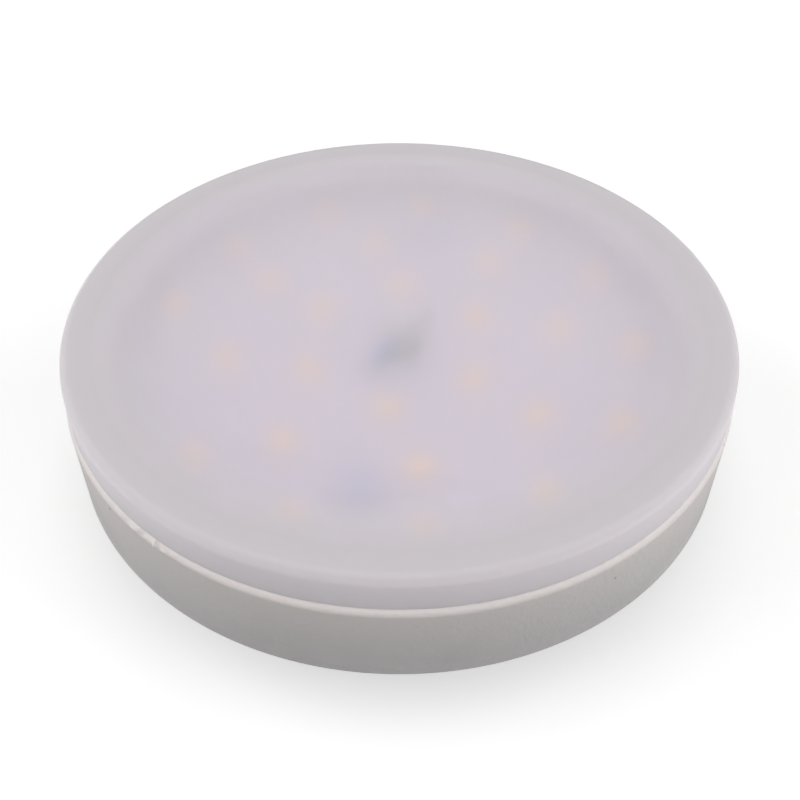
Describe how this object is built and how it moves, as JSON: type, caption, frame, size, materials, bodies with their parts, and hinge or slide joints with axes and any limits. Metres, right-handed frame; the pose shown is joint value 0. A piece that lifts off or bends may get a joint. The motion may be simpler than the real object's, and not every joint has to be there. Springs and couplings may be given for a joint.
{
  "type": "led disc lamp",
  "caption": "Flat round disc lamp with a milky cover on a white ceramic ring, and a hub and mushroom contact pins underneath.",
  "frame": {"origin": "centre of the hub's bottom face, on which the lamp rests face up", "axes": "+Z out of the milky cover, with the contact pins on the X axis"},
  "size_m": [0.075, 0.075, 0.0239],
  "materials": {
    "diffuser": "satin",
    "ceramic": "satin",
    "cap_plastic": "satin",
    "pin_metal": "polished",
    "tag_metal": "satin",
    "solder": "gloss",
    "screw_steel": "satin",
    "spreader_metal": "satin",
    "light_board": "satin",
    "insulating_sheet": "satin",
    "led_package": "satin",
    "phosphor": "gloss",
    "fibreboard": "satin",
    "capacitor_sleeve": "gloss",
    "film_box": "gloss",
    "ferrite": "matte",
    "copper_wire": "gloss",
    "fuse_coat": "satin",
    "surge_coat": "gloss",
    "chip_mould": "matte",
    "chip_part": "satin",
    "mains_wire": "satin",
    "plus_wire": "satin",
    "minus_wire": "satin"
  },
  "bodies": {
    "root": {"diffuser_cover": "diffuser", "housing_ring": "ceramic", "base_cap": "cap_plastic", "contact_pin_left": "pin_metal", "contact_pin_right": "pin_metal", "solder_tag_left": "tag_metal", "solder_tag_right": "tag_metal", "mains_joints": "solder", "led_joints": "solder", "board_screw_front": "screw_steel", "board_screw_rear": "screw_steel", "heat_spreader": "spreader_metal", "led_board": "light_board", "insulator_disc": "insulating_sheet", "led_outer_01": "led_package", "led_outer_02": "led_package", "led_outer_03": "led_package", "led_outer_04": "led_package", "led_outer_05": "led_package", "led_outer_06": "led_package", "led_outer_07": "led_package", "led_outer_08": "led_package", "led_outer_09": "led_package", "led_outer_10": "led_package", "led_outer_11": "led_package", "led_outer_12": "led_package", "led_middle_01": "led_package", "led_middle_02": "led_package", "led_middle_03": "led_package", "led_middle_04": "led_package", "led_middle_05": "led_package", "led_middle_06": "led_package", "led_middle_07": "led_package", "led_middle_08": "led_package", "led_inner_01": "led_package", "led_inner_02": "led_package", "led_inner_03": "led_package", "led_inner_04": "led_package", "led_inner_05": "led_package", "led_inner_06": "led_package", "led_window_outer": "phosphor", "led_window_middle": "phosphor", "led_window_inner": "phosphor", "driver_board": "fibreboard", "main_capacitor": "capacitor_sleeve", "output_capacitor": "capacitor_sleeve", "film_capacitor": "film_box", "inductor_core": "ferrite", "inductor_winding": "copper_wire", "fuse_resistor": "fuse_coat", "surge_disc": "surge_coat", "bridge_rectifier": "chip_mould", "driver_chip": "chip_mould", "output_diode": "chip_mould", "chip_resistors": "chip_part", "chip_capacitors": "chip_part", "mains_lead_left": "mains_wire", "mains_lead_right": "mains_wire", "led_lead_plus": "plus_wire", "led_lead_minus": "minus_wire"}
  },
  "joints": []
}
